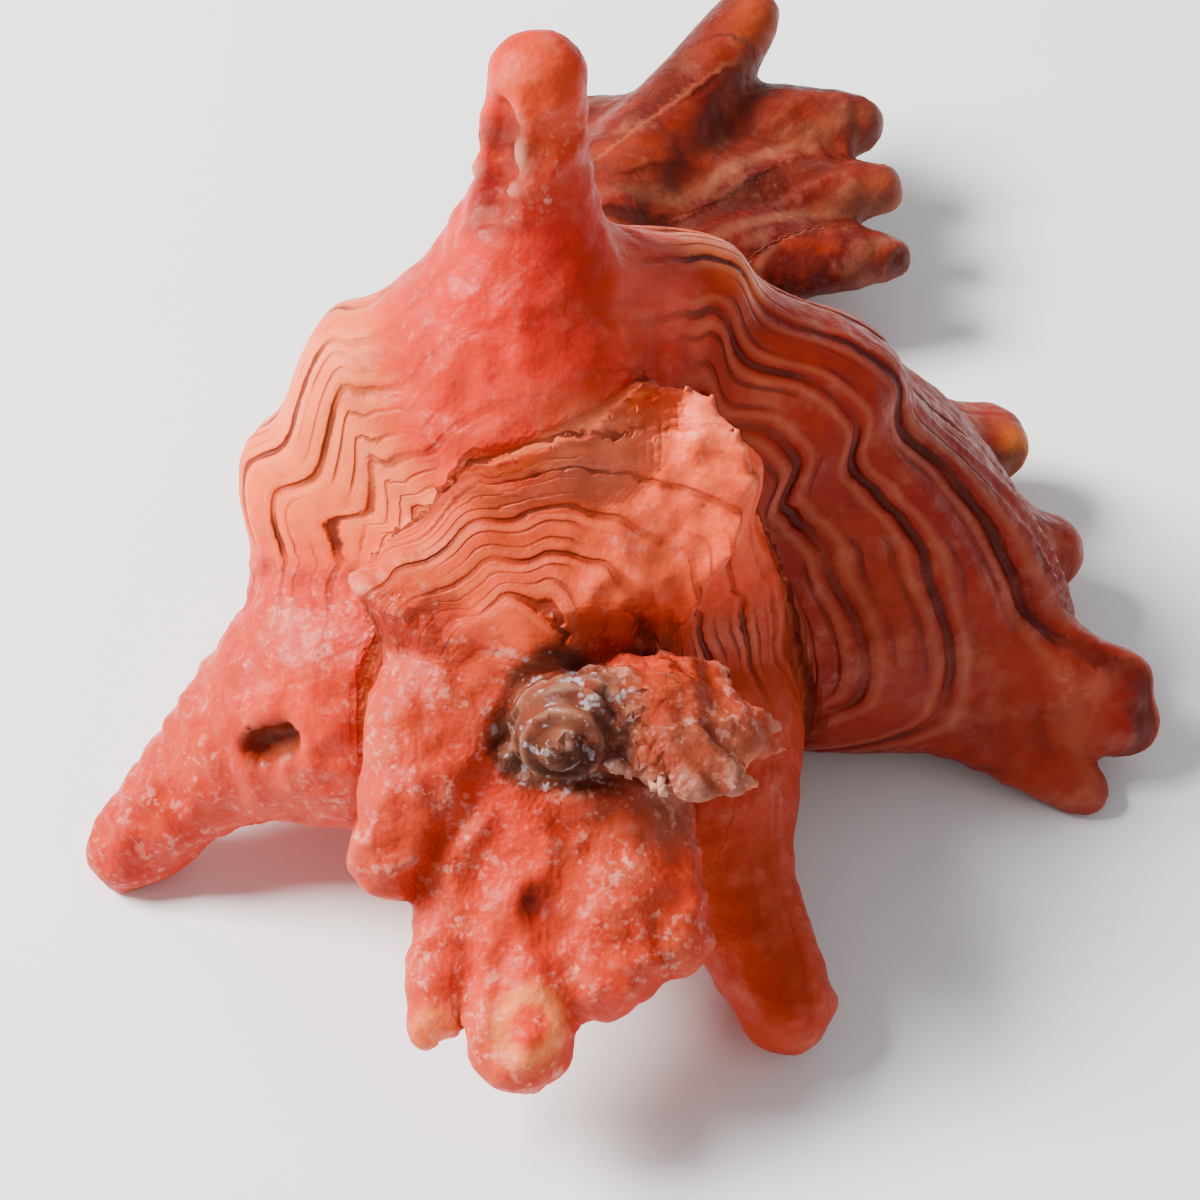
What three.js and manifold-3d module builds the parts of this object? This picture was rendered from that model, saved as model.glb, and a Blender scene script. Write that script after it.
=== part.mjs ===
// A murex shell, grown as one piece: whorls with varices, open spines, an aperture and a siphonal canal.
// Shell frame: +Z runs to the apex, the whorls grow clockwise seen from the apex, and the growth angle
// is 0 at the outer lip and negative on everything older. Millimetres and degrees throughout.
import * as THREE from "three";
import { mergeVertices } from "three/addons/utils/BufferGeometryUtils.js";
import Module from "manifold-3d";

// ---- Spiral ----
const LIP_SIZE = 28.5; // radius of the last whorl at the outer lip
const SPIRE_DROP = 1.16; // distance of a whorl's shoulder below the apex, over its size
const LIP_AZIMUTH = 344; // where the outer lip stands, counterclockwise seen from the apex
// Growth of the size per turn: the early whorls are worn, so they shrink faster than the last ones.
const GROWTHS = [
  { from: -420, to: 0, perTurn: 1.6 },
  { from: -640, to: -420, perTurn: 2.5 },
  { from: -1000, to: -640, perTurn: 8 },
];
const TURN_STEPS = [
  { from: -350, to: 0, step: 6 },
  { from: -700, to: -350, step: 10 },
  { from: -1000, to: -700, step: 20 },
];
const WHORL_PLACES = 18; // steps around a whorl's section
const PROTOCONCH = { centre: [0.2, -0.2, -4.8], radius: 3.7 };

// Half section of a whorl over its size: distance from the axis, height; from the suture to the base.
const WHORL_SECTION = [
  [0.05, 0.62],
  [0.5, 0.36],
  [0.66, 0.24],
  [0.84, 0.13],
  [0.97, 0.02],
  [1.03, -0.14],
  [1.0, -0.34],
  [0.87, -0.56],
  [0.67, -0.78],
  [0.47, -1.0],
  [0.28, -1.22],
  [0.17, -1.44],
  [0.05, -1.6],
];
const SHOULDER_HEIGHT = -0.05; // where on the section the swellings are strongest
const SHOULDER_SPREAD = 0.5;

// Swellings of the whorl under each varix (tall) and each axial rib (low), by growth angle.
const BACK_SPREAD = 30; // degrees: the slow rise behind a varix
const FRONT_SPREAD = 9; // degrees: the quick fall in front of it
const RIB_BACK = 16;
const RIB_FRONT = 6;
const VARICES = [
  { growth: 4, swell: 0.32 },
  { growth: -113, swell: 0.05 },
  { growth: -229, swell: 0.24 },
  { growth: -321, swell: 0.18 },
  { growth: -416, swell: 0.22 },
  { growth: -526, swell: 0.18 },
  { growth: -639, swell: 0.22 },
  { growth: -721, swell: 0.16 },
  { growth: -815, swell: 0.12 },
  { growth: -905, swell: 0.12 },
];
const RIBS = [
  { growth: -44, swell: 0.08 },
  { growth: -76, swell: 0.08 },
  { growth: -148, swell: 0.08 },
  { growth: -176, swell: 0.09 },
  { growth: -272, swell: 0.05 },
  { growth: -372, swell: 0.05 },
  { growth: -462, swell: 0.06 },
  { growth: -492, swell: 0.06 },
];

// ---- Flanges: the raised lip left on each varix ----
// The crest is [place on the section, height]; sweep turns it per unit of place; back and front are
// the angles over which it rises and falls.
const FLANGES = [
  {
    growth: 0,
    sweep: 0,
    back: 56,
    front: 7,
    crest: [
      [0.2, 0.5],
      [0.34, 4],
      [0.42, 7],
      [0.5, 9],
      [0.56, 13],
      [0.62, 17],
      [0.7, 17],
      [0.8, 11],
      [0.92, 3],
    ],
  },
  {
    growth: -113,
    sweep: 0,
    back: 15,
    front: 8,
    crest: [
      [0.2, 0.5],
      [0.34, 2],
      [0.42, 4],
      [0.5, 4.5],
      [0.6, 4.5],
      [0.7, 3.5],
      [0.8, 2.5],
      [0.92, 0.5],
    ],
  },
  {
    growth: -229,
    sweep: 0,
    back: 15,
    front: 9,
    crest: [
      [0.2, 0.5],
      [0.32, 3],
      [0.42, 5],
      [0.52, 3.5],
      [0.64, 3],
      [0.8, 1],
    ],
  },
  {
    growth: -321,
    sweep: 0,
    back: 14,
    front: 10,
    crest: [
      [0.14, 0.5],
      [0.3, 3],
      [0.42, 4.5],
      [0.54, 2.5],
      [0.64, 0.8],
    ],
  },
  {
    growth: -432,
    sweep: 150,
    back: 24,
    front: 7,
    crest: [
      [0.1, 0.5],
      [0.2, 2.5],
      [0.3, 3.4],
      [0.4, 3.6],
      [0.5, 3],
      [0.62, 1],
    ],
  },
  {
    growth: -534,
    sweep: 0,
    back: 16,
    front: 8,
    crest: [
      [0.14, 0.5],
      [0.28, 1.2],
      [0.4, 1.6],
      [0.55, 1],
    ],
  },
  {
    growth: -726,
    sweep: 70,
    back: 40,
    front: 14,
    crest: [
      [0.06, 2],
      [0.18, 6],
      [0.3, 8.6],
      [0.42, 9],
      [0.55, 6],
      [0.7, 2],
    ],
  },
];
const SWEEP_PLACE = 0.38; // the place at which a swept crest stands at its growth angle
// Section of a flange: [share of back (negative) or front, share of the height]
const FLANGE_SECTION = [
  [-0.75, 0.19],
  [-0.5, 0.43],
  [-0.25, 0.71],
  [-0.02, 1],
  [0.2, 0.9],
  [0.5, 0.2],
];

// ---- Spines: root on the shell, tip as [reach from the axis, azimuth, height], radii root to tip ----
// sink is how far the root starts towards the axis, wide the section's breadth along the varix.
const SPINES = {
  lip_shoulder: { growth: 5, place: 0.38, sink: 0.4, tip: [54.6, 341.5, -29], radii: [12, 5.4, 3] },
  lip_shoulder_low: { growth: 5, place: 0.37, sink: 0.4, tip: [52.4, 335.1, -25.3], radii: [11, 4.6, 2.2] },
  lip_shoulder_high: { growth: 3, place: 0.38, sink: 0.4, tip: [53, 345.6, -30], radii: [11, 4.6, 2.4] },
  lip_small: { growth: -2, place: 0.44, sink: 0.3, tip: [44.6, 346, -36.6], radii: [7, 3.2, 1.8] },
  lip_second: { growth: -2, place: 0.5, sink: 0.3, tip: [48.6, 348, -46.4], radii: [8, 4.4, 2.7], wide: 1.2 },
  lip_third: { growth: -3, place: 0.58, sink: 0.3, tip: [43.8, 353, -58.8], radii: [8, 4.6, 3], wide: 1.4 },
  lip_last: { growth: -12, place: 0.97, sink: 0.1, tip: [30.5, 38, -101.6], radii: [9, 6.6, 2.9] },
  dorsal: { growth: -111, place: 0.37, sink: 0.4, tip: [43.8, 92, -30.2], radii: [10.5, 5.4, 3.4] },
  left: {
    growth: -233, place: 0.36, sink: 0.45, tip: [44.8, 218.4, -23.5], bend: [-4, 5, 1], radii: [12, 7.2, 3],
  },
  left_skirt: { growth: -262, place: 0.38, sink: 0.5, tip: [24, 236, -12], radii: [11, 7, 2.5], wide: 0.9 },
  right_front: { growth: -321, place: 0.38, sink: 0.4, tip: [34, 306, -1.4], radii: [13, 6.6, 3.6] },
  front: { growth: -639, place: 0.34, sink: 0.2, tip: [23.4, 263, 7.6], radii: [8.5, 7.2, 3.4], wide: 0.8 },
  front_left: { growth: -624, place: 0.34, sink: 0.2, tip: [25.2, 247, 4.8], radii: [7.5, 6.5, 1.6] },
  front_side: { growth: -590, place: 0.34, sink: 0.2, tip: [17.5, 222, -3], radii: [7.5, 6.5, 3], wide: 0.8 },
  front_right: { growth: -665, place: 0.34, sink: 0.2, tip: [19.4, 301, 2], radii: [8, 7.5, 2.2], wide: 0.8 },
  front_web: { growth: -650, place: 0.34, sink: 0.2, tip: [18.5, 283, 3], radii: [8, 7.5, 4], wide: 0.8 },
};
// Webbed fingers of the lip, standing on the canal: root and tip as [reach, azimuth, height]
const FINGERS = {
  lip_fourth: { root: [4.7, 32, -78.5], tip: [36.3, 3.8, -78.4], radii: [5.5, 4, 2], wide: 1.25 },
  lip_fifth: { root: [6.4, 38.7, -86], tip: [36.7, 9.7, -85.6], radii: [5.5, 4.2, 2.3], wide: 1.25 },
  lip_sixth: { root: [8.6, 35.5, -93.6], tip: [36.0, 15.1, -93.8], radii: [6, 5, 3], wide: 1.15 },
};
const SPINE_SIDES = 9;
const SPINE_RINGS = 7;

// ---- Canal, cavity and slit ----
const CANAL_PATH = [
  [2, 2, -52],
  [5, 4, -72],
  [9.5, 4.5, -88],
  [15, 1.3, -102.1],
];
const CANAL_RADII = [8, 6.4, 5, 3.4];
const CAVITY_CENTRE = [0.46, -0.44]; // the section shrinks towards this point to make the cavity's
const CAVITY_FILL = 0.86; // share of the section that is hollow
const CAVITY_PLACES = [0.2, 0.74]; // first and last place of the section that the cavity follows
const CAVITY_FROM = -165;
const CAVITY_TO = 16;
const SLIT_WIDTH = 2.6;
const SLIT_REACH = 12; // how far the slit's cutter reaches out of the canal
const SLIT_ENDS = [0.1, 0.86]; // along the canal
const FLOOR_CUT = 200;
const COLUMELLA_RADII = [1.2, 6.5];

// ---- How it lies: the apex leans to the front, raised, and three tips carry it ----
const LEAN = 32;
const YAW = 4;
const PITCH = 41;
const REST_LIFT = 31;
const AIM_HEIGHT = -2;

const wasm = await Module();
wasm.setup();

const radians = THREE.MathUtils.degToRad;
const sizeAt = (growth) =>
  GROWTHS.reduce((size, { from, to, perTurn }) => {
    const turned = THREE.MathUtils.clamp(growth, from, to === 0 ? Infinity : to) - to;
    return size * perTurn ** (turned / 360);
  }, LIP_SIZE);
const azimuthAt = (growth) => radians(LIP_AZIMUTH - growth);
const places = (count) => Array.from({ length: count + 1 }, (_, i) => i / count);

// Catmull-Rom value of a table of number rows at t from 0 to 1.
function alongTable(table, t) {
  const x = THREE.MathUtils.clamp(t, 0, 1) * (table.length - 1);
  const i = Math.min(Math.floor(x), table.length - 2);
  const f = x - i;
  const row = (k) => table[THREE.MathUtils.clamp(k, 0, table.length - 1)];
  return row(i).map((_, c) => {
    const [a, b, d, e] = [row(i - 1)[c], row(i)[c], row(i + 1)[c], row(i + 2)[c]];
    const [slope, curve, twist] = [d - a, 2 * a - 5 * b + 4 * d - e, 3 * b - a - 3 * d + e];
    return 0.5 * (2 * b + slope * f + curve * f ** 2 + twist * f ** 3);
  });
}

// Piecewise linear height of a crest given as [place, height] pairs.
function crestHeight(crest, place) {
  const next = crest.findIndex(([at]) => at >= place);
  if (next <= 0) return crest[0][1];
  const [[a, ha], [b, hb]] = [crest[next - 1], crest[next]];
  return ha + ((hb - ha) * (place - a)) / (b - a);
}

function swelling(growth, height) {
  const bump = (d, behind, ahead) => Math.exp(-((d / (d < 0 ? behind : ahead)) ** 2));
  let sum = 0;
  for (const v of VARICES) sum += v.swell * bump(growth - v.growth, BACK_SPREAD, FRONT_SPREAD);
  for (const r of RIBS) sum += r.swell * bump(growth - r.growth, RIB_BACK, RIB_FRONT);
  const shoulder = Math.exp(-(((height - SHOULDER_HEIGHT) / SHOULDER_SPREAD) ** 2));
  return 1 + sum * (0.35 + 0.65 * shoulder);
}

// Point of a whorl's section (out, up, both over its size) at a growth angle.
function sectionPoint(growth, out, up, swell = 1) {
  const size = sizeAt(growth);
  const rho = size * out * swell;
  const turn = azimuthAt(growth);
  return new THREE.Vector3(rho * Math.cos(turn), rho * Math.sin(turn), size * (up - SPIRE_DROP));
}

// Point of the outside at a growth angle and a place (0 suture, 1 base), raised along the normal.
function surfacePoint(growth, place, raise = 0) {
  const [out, up] = alongTable(WHORL_SECTION, place);
  const [outA, upA] = alongTable(WHORL_SECTION, place - 0.01);
  const [outB, upB] = alongTable(WHORL_SECTION, place + 0.01);
  const normal = new THREE.Vector2(upA - upB, outB - outA).normalize();
  const size = sizeAt(growth);
  const swell = swelling(growth, up);
  return sectionPoint(growth, out * swell + (raise * normal.x) / size, up + (raise * normal.y) / size);
}

function solid(geometry) {
  geometry.deleteAttribute("normal");
  geometry.deleteAttribute("uv");
  const merged = mergeVertices(geometry, 1e-4);
  const vertProperties = merged.attributes.position.array;
  const triVerts = new Uint32Array(merged.index.array);
  return new wasm.Manifold(new wasm.Mesh({ numProp: 3, vertProperties, triVerts }));
}

// Closed solid through a row of rings with the same number of points, capped at both ends.
function loft(rings) {
  const sides = rings[0].length;
  const points = rings.flat();
  for (const ring of [rings[0], rings.at(-1)]) {
    points.push(ring.reduce((sum, p) => sum.add(p), new THREE.Vector3()).divideScalar(sides));
  }
  const index = [];
  const [startCap, endCap] = [points.length - 2, points.length - 1];
  const lastRing = (rings.length - 1) * sides;
  for (let j = 0; j < sides; j++) {
    const k = (j + 1) % sides;
    for (let i = 0; i < lastRing; i += sides) {
      index.push(i + j, i + k, i + sides + k, i + j, i + sides + k, i + sides + j);
    }
    index.push(startCap, k, j, endCap, lastRing + j, lastRing + k);
  }
  let volume = 0;
  for (let i = 0; i < index.length; i += 3) {
    const [a, b, c] = [points[index[i]], points[index[i + 1]], points[index[i + 2]]];
    volume += a.dot(b.clone().cross(c));
  }
  if (volume < 0) index.reverse();
  const geometry = new THREE.BufferGeometry().setFromPoints(points);
  geometry.setIndex(index);
  return solid(geometry);
}

function whorls({ from, to, step }, places) {
  const rings = [];
  const count = Math.ceil((to - from) / step);
  for (let i = 0; i <= count; i++) {
    const growth = from + ((to - from) * i) / count;
    rings.push(places.map((place) => surfacePoint(growth, place)));
  }
  return loft(rings);
}

function flange({ growth, sweep, back, front, crest }) {
  const [first, last] = [crest[0][0], crest.at(-1)[0]];
  const rings = [];
  const count = 12;
  for (let i = 0; i <= count; i++) {
    const place = first + ((last - first) * i) / count;
    const height = crestHeight(crest, place);
    const at = growth + sweep * (SWEEP_PLACE - place);
    rings.push([
      surfacePoint(at - back, place, -2),
      ...FLANGE_SECTION.map(([along, share]) =>
        surfacePoint(at + along * (along < 0 ? back : front), place, height * share),
      ),
      surfacePoint(at + front, place, -2),
    ]);
  }
  return loft(rings);
}

// Rings of an elliptical section along a path; wide stretches it along the shell's axis.
function tube(path, radii, wide) {
  const axis = new THREE.Vector3(0, 0, 1);
  return path.map((centre, i) => {
    const ahead = path[Math.min(i + 1, path.length - 1)];
    const behind = path[Math.max(i - 1, 0)];
    const tangent = ahead.clone().sub(behind).normalize();
    const side = tangent.clone().cross(axis).normalize();
    if (side.lengthSq() < 0.5) side.set(1, 0, 0);
    const along = side.clone().cross(tangent);
    return Array.from({ length: SPINE_SIDES }, (_, j) => {
      const turn = (j * 2 * Math.PI) / SPINE_SIDES;
      return centre
        .clone()
        .addScaledVector(side, radii[i] * Math.cos(turn))
        .addScaledVector(along, radii[i] * wide * Math.sin(turn));
    });
  });
}

const polar = ([reach, azimuth, height]) =>
  new THREE.Vector3(reach * Math.cos(radians(azimuth)), reach * Math.sin(radians(azimuth)), height);

function spine({ growth, place, sink, tip, bend = [0, 0, 0], radii, wide = 1 }) {
  const end = polar(tip);
  const root = surfacePoint(growth, place);
  root.lerp(new THREE.Vector3(0, 0, root.z), sink);
  const middle = root.clone().lerp(end, 0.5).add(new THREE.Vector3(...bend));
  const curve = new THREE.QuadraticBezierCurve3(root, middle, end);
  const [rootRadius, midRadius, tipRadius] = radii;
  const path = [];
  const sizes = [];
  for (let i = 0; i <= SPINE_RINGS; i++) {
    const t = 1 - (1 - i / SPINE_RINGS) ** 1.25;
    const cap = THREE.MathUtils.clamp((t - 0.88) / 0.12, 0, 0.92);
    const flare = (rootRadius - midRadius) * Math.exp(-((t / 0.35) ** 2));
    const taper = tipRadius + (midRadius - tipRadius) * (1 - t);
    path.push(curve.getPoint(t));
    sizes.push((taper + flare) * Math.sqrt(1 - cap ** 2));
  }
  return loft(tube(path, sizes, wide));
}

function finger({ root, tip, radii, wide }) {
  const [start, end] = [polar(root), polar(tip)];
  const [rootRadius, midRadius, tipRadius] = radii;
  const shares = [0, 0.6, 0.9, 0.97, 1];
  const sizes = [rootRadius, midRadius, tipRadius * 1.15, tipRadius * 0.85, tipRadius * 0.4];
  const path = shares.map((t) => start.clone().lerp(end, t));
  return loft(tube(path, sizes, wide));
}

function cavity() {
  const [centreOut, centreUp] = CAVITY_CENTRE;
  const [first, last] = CAVITY_PLACES;
  const rings = [];
  const count = 18;
  for (let i = 0; i <= count; i++) {
    const growth = CAVITY_FROM + ((CAVITY_TO - CAVITY_FROM) * i) / count;
    const fill = CAVITY_FILL * Math.min(1, 0.5 + (2 * i) / count);
    rings.push(
      places(12).map((t) => {
        const [out, up] = alongTable(WHORL_SECTION, first + (last - first) * t);
        return sectionPoint(growth, centreOut + fill * (out - centreOut), centreUp + fill * (up - centreUp));
      }),
    );
  }
  return loft(rings);
}

// The open slit under the siphonal canal, on the aperture's side.
function slit() {
  const curve = canalCurve();
  const out = new THREE.Vector3(Math.cos(radians(LIP_AZIMUTH - 90)), Math.sin(radians(LIP_AZIMUTH - 90)), 0);
  const [first, last] = SLIT_ENDS;
  const rings = places(8).map((t) => {
    const at = curve.getPoint(first + (last - first) * t);
    const side = curve.getTangent(first + (last - first) * t).cross(out).setLength(SLIT_WIDTH / 2);
    const far = at.clone().addScaledVector(out, SLIT_REACH);
    return [at.clone().add(side), at.clone().sub(side), far.clone().sub(side), far.clone().add(side)];
  });
  return loft(rings);
}

function columella() {
  const foot = sizeAt(0) * (-SPIRE_DROP - 1.25);
  const top = -6;
  const cone = new THREE.CylinderGeometry(COLUMELLA_RADII[0], COLUMELLA_RADII[1], top - foot, 12);
  cone.rotateX(Math.PI / 2).translate(0, 0, (top + foot) / 2);
  return solid(cone);
}

function protoconch() {
  const { centre, radius } = PROTOCONCH;
  return solid(new THREE.SphereGeometry(radius, 12, 8).translate(...centre));
}

const canalCurve = () => new THREE.CatmullRomCurve3(CANAL_PATH.map((p) => new THREE.Vector3(...p)));

function canal() {
  const count = 10;
  const path = canalCurve().getPoints(count);
  const sizes = path.map((_, i) => alongTable(CANAL_RADII.map((r) => [r]), i / count)[0]);
  return loft(tube(path, sizes, 1));
}

const join = (solids, start) => solids.reduce((sum, part) => sum.add(part), start);
const [lastWhorl, ...spire] = TURN_STEPS.map((turn) => whorls(turn, places(WHORL_PLACES)));
const spines = [...Object.values(SPINES).map(spine), ...Object.values(FINGERS).map(finger)];
let shell = join([...FLANGES.slice(0, 3).map(flange), ...spines, canal()], lastWhorl).subtract(cavity());
shell = join([...spire, ...FLANGES.slice(3).map(flange), protoconch(), columella()], shell).subtract(slit());

const attitude = new THREE.Matrix4()
  .makeTranslation(0, 0, REST_LIFT)
  .multiply(new THREE.Matrix4().makeRotationX(radians(PITCH)))
  .multiply(new THREE.Matrix4().makeRotationY(radians(YAW)))
  .multiply(new THREE.Matrix4().makeRotationX(radians(LEAN)))
  .multiply(new THREE.Matrix4().makeTranslation(0, 0, -AIM_HEIGHT));

// The three lowest tips are worn flat where the shell stands.
const floor = new THREE.BoxGeometry(FLOOR_CUT * 2, FLOOR_CUT * 2, FLOOR_CUT);
const below = solid(floor.translate(0, 0, -FLOOR_CUT / 2));
shell = shell.transform(attitude.toArray()).subtract(below);

const { vertProperties, triVerts } = shell.getMesh();
const geometry = new THREE.BufferGeometry();
geometry.setAttribute("position", new THREE.BufferAttribute(new Float32Array(vertProperties), 3));
geometry.setIndex(new THREE.BufferAttribute(new Uint32Array(triVerts), 1));
// The frame's origin is the middle of the footprint, on the floor.
geometry.computeBoundingBox();
const { min, max } = geometry.boundingBox;
geometry.translate(-(min.x + max.x) / 2, -(min.y + max.y) / 2, 0);
geometry.computeVertexNormals();

const material = new THREE.MeshStandardMaterial({ color: 0xc9714a, roughness: 0.6, metalness: 0 });
const mesh = new THREE.Mesh(geometry, material);
mesh.name = "shell";
const murex = new THREE.Group();
murex.name = "murex_shell";
murex.add(mesh);
export default murex;
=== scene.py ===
import bpy
import math
import numpy as np
from mathutils import Matrix, Vector


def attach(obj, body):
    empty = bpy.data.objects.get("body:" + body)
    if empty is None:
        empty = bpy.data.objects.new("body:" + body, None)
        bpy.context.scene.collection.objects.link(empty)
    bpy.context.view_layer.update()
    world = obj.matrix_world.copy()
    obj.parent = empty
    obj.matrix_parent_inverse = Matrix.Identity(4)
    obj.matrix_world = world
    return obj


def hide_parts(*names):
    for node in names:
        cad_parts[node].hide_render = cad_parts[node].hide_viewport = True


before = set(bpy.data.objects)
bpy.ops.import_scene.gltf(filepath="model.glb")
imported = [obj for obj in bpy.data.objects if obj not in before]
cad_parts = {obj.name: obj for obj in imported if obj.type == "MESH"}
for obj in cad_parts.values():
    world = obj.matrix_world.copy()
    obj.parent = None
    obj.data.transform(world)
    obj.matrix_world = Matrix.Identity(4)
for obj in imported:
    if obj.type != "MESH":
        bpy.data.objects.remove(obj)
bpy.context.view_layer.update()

# ---- Spiral, as in the CAD ----
LIP_SIZE = 28.5
TURN_GROWTH = 1.6
OLD_TURN_GROWTH, OLD_FROM = 2.5, -420.0  # of the worn early whorls
TIP_TURN_GROWTH, TIP_FROM = 8.0, -640.0  # of the first whorls, mostly worn away
PROTOCONCH = ((0.2, -0.2, -4.8), 3.7)
SPIRE_DROP = 1.16
LIP_AZIMUTH = 344.0
TURNS = 4
WHORL_SECTION = np.array([
    (0.05, 0.62), (0.5, 0.36), (0.66, 0.24), (0.84, 0.13), (0.97, 0.02), (1.03, -0.14), (1.0, -0.34),
    (0.87, -0.56), (0.67, -0.78), (0.47, -1.0), (0.28, -1.22), (0.17, -1.44), (0.05, -1.6),
])
SHOULDER_HEIGHT, SHOULDER_SPREAD = -0.05, 0.5
BACK_SPREAD, FRONT_SPREAD = 30.0, 9.0
RIB_BACK, RIB_FRONT = 16.0, 6.0
# (growth angle, swelling)
VARICES = [(4, 0.32), (-113, 0.05), (-229, 0.24), (-321, 0.18), (-416, 0.22), (-526, 0.18), (-639, 0.22),
           (-721, 0.16), (-815, 0.12), (-905, 0.12), (-1000, 0.1), (-1090, 0.1)]
RIBS = [(-44, 0.08), (-76, 0.08), (-148, 0.08), (-176, 0.09), (-272, 0.05), (-372, 0.05), (-462, 0.06),
        (-492, 0.06)]
# (growth angle at the shoulder, sweep per unit of place towards the suture, back, front, [(place, height)])
FLANGES = [
    (0, 0, 56, 7, [(0.2, 0.5), (0.34, 4), (0.42, 7), (0.5, 9), (0.56, 13), (0.62, 17), (0.7, 17), (0.8, 11),
                   (0.92, 3)]),
    (-113, 0, 15, 8, [(0.2, 0.5), (0.34, 2), (0.42, 4), (0.5, 4.5), (0.6, 4.5), (0.7, 3.5), (0.8, 2.5),
                      (0.92, 0.5)]),
    (-229, 0, 15, 9, [(0.2, 0.5), (0.32, 3), (0.42, 5), (0.52, 3.5), (0.64, 3), (0.8, 1)]),
    (-321, 0, 14, 10, [(0.14, 0.5), (0.3, 3), (0.42, 4.5), (0.54, 2.5), (0.64, 0.8)]),
    (-432, 150, 24, 7, [(0.1, 0.5), (0.2, 2.5), (0.3, 3.4), (0.4, 3.6), (0.5, 3.0), (0.62, 1)]),
    (-534, 0, 16, 8, [(0.14, 0.5), (0.28, 1.2), (0.4, 1.6), (0.55, 1)]),
    (-726, 70, 40, 14, [(0.06, 2), (0.18, 6), (0.3, 8.6), (0.42, 9), (0.55, 6), (0.7, 2)]),
]
# name: growth, place, sink, tip (reach, azimuth, height), bend, radii, wide
SPINES = {
    "lip_shoulder": (5, 0.38, 0.4, (54.6, 341.5, -29.0), (0, 0, 0), (12, 5.4, 3.0), 1.0),
    "lip_shoulder_low": (5, 0.37, 0.4, (52.4, 335.1, -25.3), (0, 0, 0), (11, 4.6, 2.2), 1.0),
    "lip_shoulder_high": (3, 0.38, 0.4, (53.0, 345.6, -30.0), (0, 0, 0), (11, 4.6, 2.4), 1.0),
    "lip_small": (-2, 0.44, 0.3, (44.6, 346, -36.6), (0, 0, 0), (7, 3.2, 1.8), 1.1),
    "lip_second": (-2, 0.5, 0.3, (48.6, 348, -46.4), (0, 0, 0), (8, 4.4, 2.7), 1.2),
    "lip_third": (-3, 0.58, 0.3, (43.8, 353, -58.8), (0, 0, 0), (8, 4.6, 3.0), 1.4),
    "lip_last": (-12, 0.97, 0.1, (30.5, 38, -101.6), (0, 0, 0), (9, 6.6, 2.9), 1.1),
    "dorsal": (-111, 0.37, 0.4, (43.8, 92, -30.2), (0, 0, 0), (10.5, 5.4, 3.4), 0.95),
    "left": (-233, 0.36, 0.45, (44.8, 218.4, -23.5), (-4, 5, 1), (12, 7.2, 3.0), 1.0),
    "left_skirt": (-262, 0.38, 0.5, (24.0, 236, -12.0), (0, 0, 0), (11, 7, 2.5), 0.9),
    "right_front": (-321, 0.38, 0.4, (34, 306, -1.4), (0, 0, 0), (13, 6.6, 3.6), 0.9),
    "front": (-639, 0.34, 0.2, (23.4, 263, 7.6), (0, 0, 0), (8.5, 7.2, 3.4), 0.8),
    "front_left": (-624, 0.34, 0.2, (25.2, 247, 4.8), (0, 0, 0), (7.5, 6.5, 1.6), 0.8),
    "front_side": (-590, 0.34, 0.2, (17.5, 222, -3.0), (0, 0, 0), (7.5, 6.5, 3), 0.8),
    "front_right": (-665, 0.34, 0.2, (19.4, 301, 2.0), (0, 0, 0), (8, 7.5, 2.2), 0.8),
    "front_web": (-650, 0.34, 0.2, (18.5, 283, 3.0), (0, 0, 0), (8, 7.5, 4), 0.8),
}
# The webbed fingers on the canal; name: root on the canal, tip, radii, wide
FINGERS = {
    "lip_fourth": ((4, 2.5, -78.5), (36.2, 2.4, -78.4), (5.5, 4.0, 2.0), 1.25),
    "lip_fifth": ((5, 4, -86), (36.2, 6.2, -85.6), (5.5, 4.2, 2.3), 1.25),
    "lip_sixth": ((7, 5, -93.6), (34.8, 9.4, -93.8), (6, 5.0, 3.0), 1.15),
}
CANAL_PATH = [(2, 2, -52), (5, 4, -72), (9.5, 4.5, -88), (15, 1.3, -102.1)]
CANAL_RADII = (8, 6.4, 5, 3.4)
WALL = 2.4  # of the last whorl
CAVITY_FROM, CAVITY_TO = -165.0, 16.0
SLIT_WIDTH, SLIT_ENDS = 2.6, (0.1, 0.86)  # of the slit under the canal; where along it
BLEND = 3.5  # how softly spines grow out of the body

# ---- How it lies, as in the CAD ----
LEAN, YAW, PITCH, REST_LIFT, AIM_HEIGHT = 32.0, 4.0, 41.0, 31.0, -2.0
FOOTPRINT_MIDDLE = (5.68, 42.95)

VOXEL = 0.59  # how fine the mesh is, in millimetres; keeps the mesh under 200,000 triangles
MM = 0.001


def catmull(table, t):
    table = np.asarray(table, float)
    if table.ndim == 1:
        table = table[:, None]
    n = len(table)
    x = np.clip(np.asarray(t, float), 0, 1) * (n - 1)
    i = np.minimum(x.astype(int), n - 2)
    f = (x - i)[..., None]
    a, b, c, d = (table[np.clip(i + k, 0, n - 1)] for k in (-1, 0, 1, 2))
    return 0.5 * (2 * b + (c - a) * f + (2 * a - 5 * b + 4 * c - d) * f**2 + (3 * b - a - 3 * c + d) * f**3)


def size_at(growth):
    size = LIP_SIZE * TURN_GROWTH ** (np.maximum(growth, OLD_FROM) / 360.0)
    size = size * OLD_TURN_GROWTH ** (np.clip(growth - OLD_FROM, TIP_FROM - OLD_FROM, 0.0) / 360.0)
    return size * TIP_TURN_GROWTH ** (np.minimum(growth - TIP_FROM, 0.0) / 360.0)


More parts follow.
